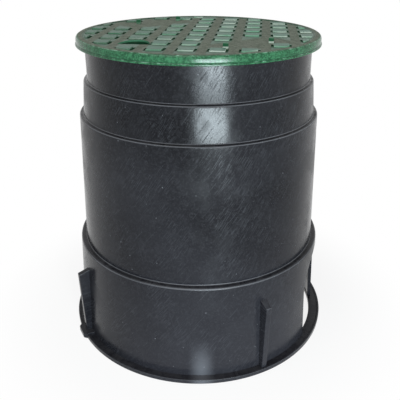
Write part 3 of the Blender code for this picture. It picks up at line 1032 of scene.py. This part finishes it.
# Greys of the rough floor: partly dust, partly a painted sheen.
FLOOR_DUST_AND_SHEEN_GREYS = ((0.072, 0.090, 0.066), (0.158, 0.182, 0.146))
# Painted highlight on the pad sides, and painted shade on the pad tops of the less lit side.
PAD_SIDE_HIGHLIGHT_GREENS = ((0.220, 0.470, 0.320), (0.560, 0.680, 0.600))
SHADED_PAD_TOP_GREEN = (0.024, 0.078, 0.048)
SMUDGE_GREY = (0.150, 0.160, 0.140)
LUG_GREEN = (0.020, 0.120, 0.055)
# Painted shade in the pits and on the finger slot's wall, and a painted highlight on the slot's
# upper edge.
PAINTED_SHADE_GREEN = (0.009, 0.052, 0.024)
SLOT_HIGHLIGHT_GREEN = (0.085, 0.300, 0.170)
STEP_GREEN = (0.012, 0.052, 0.028)
# Painted shade in the groove above the rim's bead.
GROOVE_SHADE_GREEN = (0.010, 0.050, 0.024)
# Painted shade on the lip's far side, and a painted highlight on its near side.
FAR_LIP_SHADE_GREEN = (0.010, 0.042, 0.022)
LIP_HIGHLIGHT_GREEN = (0.240, 0.400, 0.310)

mottle = bench.noise(place, 260.0, detail=5.0, rough=0.70)
cloud = bench.noise(place, 40.0, detail=3.0)
stipple = bench.noise(place, 900.0)
smudge = bench.step(bench.noise(place, 90.0, detail=3.0), 0.42, 0.70)

mottled = bench.step(mottle, 0.35, 0.65)
sides = bench.blend(bench.step(mottle * 0.45 + stipple * 0.55, 0.38, 0.62), *SIDE_GREENS)
lanes = bench.blend(mottled, *LANE_GREENS)
tops = bench.blend(mottled, *PAD_GREENS)
# The rough floor's grey: partly dust, partly a painted sheen.
dusty_sheen_floors = bench.blend(bench.step(mottle * 0.6 + stipple * 0.4, 0.38, 0.62), *FLOOR_DUST_AND_SHEEN_GREYS)
# Painted highlight for the sides of the pads.
painted_pad_highlight = bench.blend(bench.step(cloud, 0.40, 0.62), *PAD_SIDE_HIGHLIGHT_GREENS)
tone = bench.layered(sides, [
    (level * above * field, lanes),
    (on_pad * level, tops),
    # Painted shade on the pad tops of the less lit side.
    (on_pad * level * (1 - painted_light_side) * 0.50, SHADED_PAD_TOP_GREEN),
    # Rough floor: grey from dust and a painted sheen.
    (rough_floor, dusty_sheen_floors),
    (smudge * level * above * 0.25, SMUDGE_GREY),
    # Painted highlight on the pad sides, strongest on the more lit side.
    (pad_side * (0.30 + painted_light_side * 0.70), painted_pad_highlight),
    (on_lug, LUG_GREEN),
    # Painted shade in the pits, and on the finger slot's wall below a painted highlight on its
    # upper edge.
    (deep * above * field, PAINTED_SHADE_GREEN),
    (slot_side, PAINTED_SHADE_GREEN),
    (slot_side * slot_top, SLOT_HIGHLIGHT_GREEN),
    (border_step, STEP_GREEN),
    # Painted shade in the rim's groove.
    (groove * 0.5, GROOVE_SHADE_GREEN),
    # Painted shade on the far side of the lip, and a painted highlight on its near side.
    (lip * far_side, FAR_LIP_SHADE_GREEN),
    (lip * (1 - far_side) * bench.step(mottle, 0.50, 0.62) * 0.6, LIP_HIGHLIGHT_GREEN),
])
rim_gloss = (1 - level) * at_rim * 0.19
roughness = 0.36 + rough_floor * 0.40 + level * 0.10 + mottle * 0.08 - rim_gloss
relief = stipple * rough_floor + mottle * 0.40
finish_plastic(bench, tone, roughness, relief, strength=0.45, depth=0.00025, specular=0.20)
dress(lid, green)
print("green plastic:", len(bench.tree.nodes), "nodes")

# %% [markdown]
# ## Floor, world and light
# The picture has a plain white ground. The world is white for the camera and for reflections, and
# a softer grey as light. The floor is pale and keeps the box's soft shadow, and further out it
# fades to plain white. The key lamp is small and stands low in front, a little right of the
# camera: seen from above, a wall mirrors only what is low, and that gives the highlight on the
# neck. A second lamp lights the fronts of the pads, and a broad one above fills the lid.

# %% Set the stage
FLOOR_HALF = 6.0
FLOOR_DROP = 0.0002
FLOOR_TONE = (0.90, 0.90, 0.90, 1.0)
WHITE = (1.0, 1.0, 1.0, 1.0)
NEAR_WHITENESS = 0.84
FADE = (0.11, 0.20)
SKY_LIGHT = 0.32


def flat_sheet(name, half):
    """A level square round the origin."""
    bm = bmesh.new()
    bm.faces.new([bm.verts.new((a * half, b * half, 0.0)) for a, b in CORNERS])
    return finished(name, bm)


def seen_directly(bench):
    """1 for camera, glossy and transmission rays, 0 for rays that only carry light."""
    rays = bench.node("ShaderNodeLightPath")
    return bench.most(rays.out("Is Camera Ray"), bench.most(rays.out("Is Glossy Ray"),
                                                            rays.out("Is Transmission Ray")))


floor = flat_sheet("floor", FLOOR_HALF)
floor.location.z = -FLOOR_DROP
floor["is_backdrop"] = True
pale, bench = new_bench("pale_floor")
x, y, z = bench.parts(bench.position())
far = bench.step(bench.maths("SQRT", x * x + y * y), *FADE)
whiteness = NEAR_WHITENESS + far * (1 - NEAR_WHITENESS)
matte = bench.node("ShaderNodeBsdfPrincipled", {}, {
    "Base Color": FLOOR_TONE, "Roughness": 0.9, "Specular IOR Level": 0.0})
white = bench.node("ShaderNodeEmission", {}, {"Color": WHITE, "Strength": 1.0})
mixed = bench.node("ShaderNodeMixShader", {}, {
    0: seen_directly(bench) * whiteness, 1: matte, 2: white})
bench.node("ShaderNodeOutputMaterial", {}, {"Surface": mixed})
dress(floor, pale)

world = bpy.data.worlds.new("studio")
bpy.context.scene.world = world
world.use_nodes = True
bench = Bench(world.node_tree)
light = bench.node("ShaderNodeBackground", {}, {"Color": WHITE, "Strength": SKY_LIGHT})
backdrop = bench.node("ShaderNodeBackground", {}, {"Color": WHITE, "Strength": 1.0})
sky = bench.node("ShaderNodeMixShader", {}, {0: seen_directly(bench), 1: light, 2: backdrop})
bench.node("ShaderNodeOutputWorld", {}, {"Surface": sky})
print("stage set")

# %% Place the lamps
AXIS_HEIGHT = 0.115


def lamp(name, azimuth, elevation, distance, width, height, watts, colour=(1, 1, 1), roll=0.0):
    """A rectangular lamp that looks at the middle of the box, rolled about its own axis."""
    data = bpy.data.lights.new(name, "AREA")
    data.shape = "RECTANGLE"
    data.size = width
    data.size_y = height
    data.energy = watts
    data.color = colour
    made = bpy.data.objects.new(name, data)
    bpy.context.scene.collection.objects.link(made)
    a, e = math.radians(azimuth), math.radians(elevation)
    back = Vector((math.sin(a) * math.cos(e), -math.cos(a) * math.cos(e), math.sin(e)))
    made.location = Vector((0, 0, AXIS_HEIGHT)) + back * distance
    made.rotation_mode = "QUATERNION"
    made.rotation_quaternion = ((-back).to_track_quat("-Z", "Y")
                                @ Quaternion((0, 0, 1), math.radians(roll)))
    return made


lamp("key", azimuth=28.5, elevation=-2.5, distance=0.9, width=0.43, height=0.08, watts=8.2,
     colour=(0.86, 1.0, 1.07), roll=-4.0)
lamp("front", azimuth=36.0, elevation=20.0, distance=1.5, width=0.22, height=0.22, watts=6.5)
lamp("fill", azimuth=-20.0, elevation=68.0, distance=1.8, width=1.2, height=1.2, watts=15.0)

# %% [markdown]
# ## Camera
# The viewpoint was worked out from the ellipses of the tiers: the lens is close, 0.39 m from the
# axis, about 0.29 m above the ground, and looks down by 26 degrees. The pipe slots look along X,
# and the camera stands 17 degrees round from the front.

# %% Set the camera
CAMERA_AZIMUTH = 17.0
CAMERA_DISTANCE = 0.3947
CAMERA_HEIGHT = 0.2889
CAMERA_PITCH = 26.05
CAMERA_YAW = -0.15
CAMERA_LENS = 48.55
SENSOR_WIDTH = 36.0
CLIP_START = 0.01

view = bpy.data.cameras.new("camera")
view.lens = CAMERA_LENS
view.sensor_width = SENSOR_WIDTH
view.clip_start = CLIP_START
camera = bpy.data.objects.new("camera", view)
bpy.context.scene.collection.objects.link(camera)
a = math.radians(CAMERA_AZIMUTH)
camera.location = (math.sin(a) * CAMERA_DISTANCE, -math.cos(a) * CAMERA_DISTANCE, CAMERA_HEIGHT)
a = math.radians(CAMERA_AZIMUTH + CAMERA_YAW)
pitch = math.radians(CAMERA_PITCH)
ahead = Vector((-math.sin(a) * math.cos(pitch), math.cos(a) * math.cos(pitch),
                -math.sin(pitch)))
camera.rotation_mode = "QUATERNION"
camera.rotation_quaternion = ahead.to_track_quat("-Z", "Y")
bpy.context.scene.camera = camera
bpy.context.scene.view_settings.view_transform = "Standard"
print("camera at", [round(value, 3) for value in camera.location])

# %% [markdown]
# ## Size of the dressed model
# Both boxes, the CAD model's and the dressed model's, are written side by side.

# %% Write the sizes and finish
DRESSED_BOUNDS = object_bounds()
for label, corners in (("cad", CAD_BOUNDS), ("visual", DRESSED_BOUNDS)):
    print(label, [[round(value * 1000, 1) for value in corner] for corner in corners])
